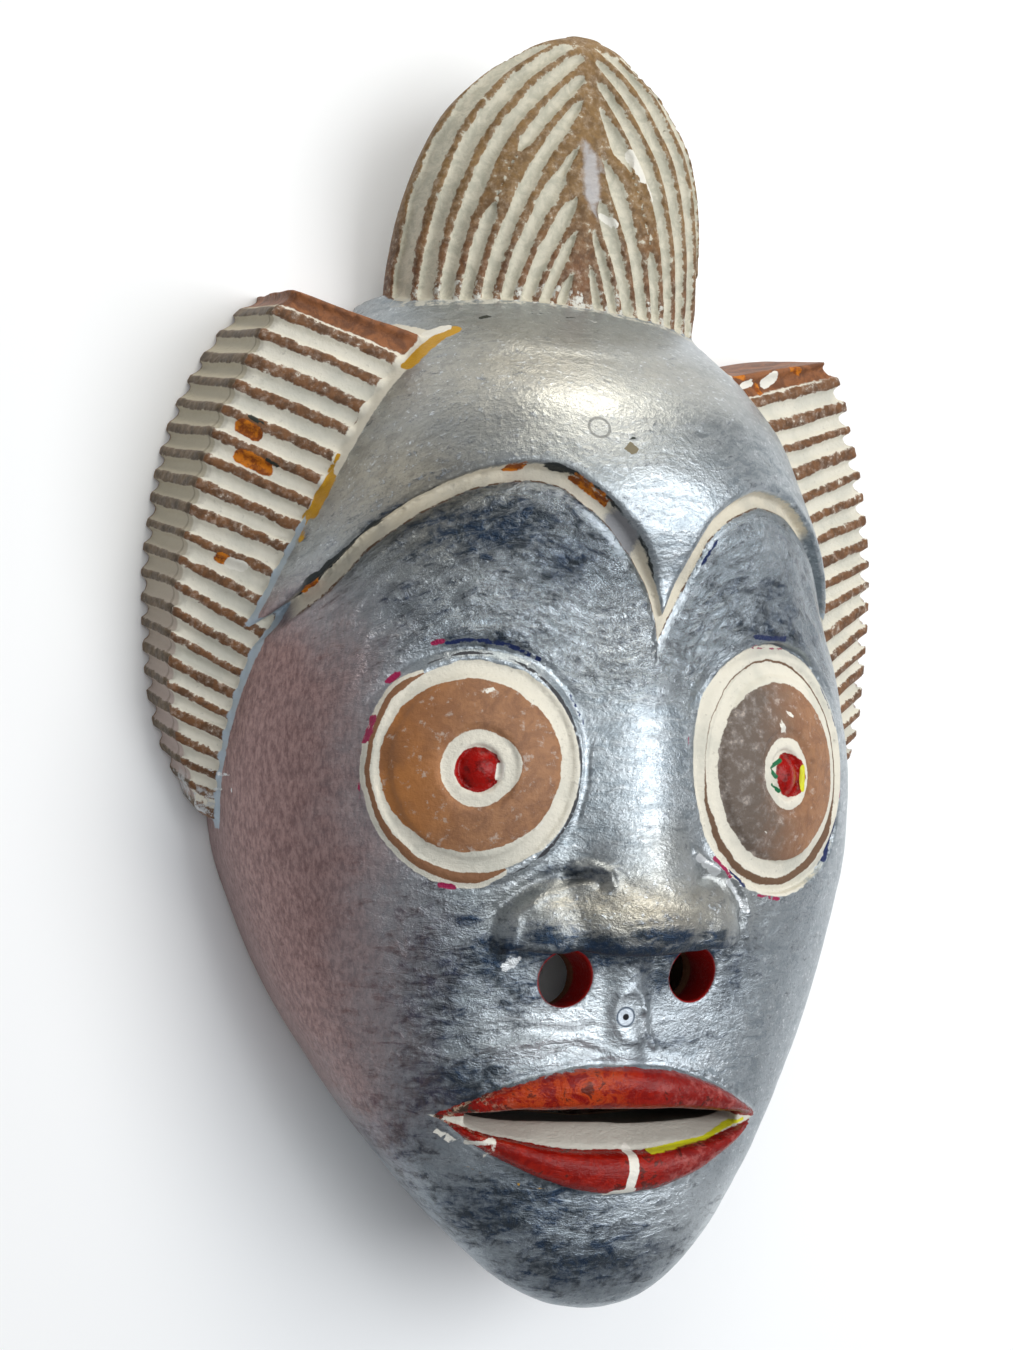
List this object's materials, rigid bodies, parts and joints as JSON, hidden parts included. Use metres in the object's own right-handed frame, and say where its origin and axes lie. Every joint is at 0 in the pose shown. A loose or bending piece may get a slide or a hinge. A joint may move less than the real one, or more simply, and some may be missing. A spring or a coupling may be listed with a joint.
{
  "type": "african mask",
  "caption": "Carved wooden face mask with disc eyes, open lips, a ribbed pointed crest, fluted side locks and a hollow back, painted silver, cream and red.",
  "frame": {"origin": "centre of the mask's outer box, on the plane that its rim lies on", "axes": "+Y from the chin to the tip of the crest, +Z out of the face, +X to the right as one looks at the face"},
  "size_m": [0.217, 0.3346, 0.0902],
  "materials": {
    "painted_wood": "hand painted, silver with cream, brown and red"
  },
  "bodies": {
    "root": {"mask": "painted_wood"}
  },
  "joints": []
}
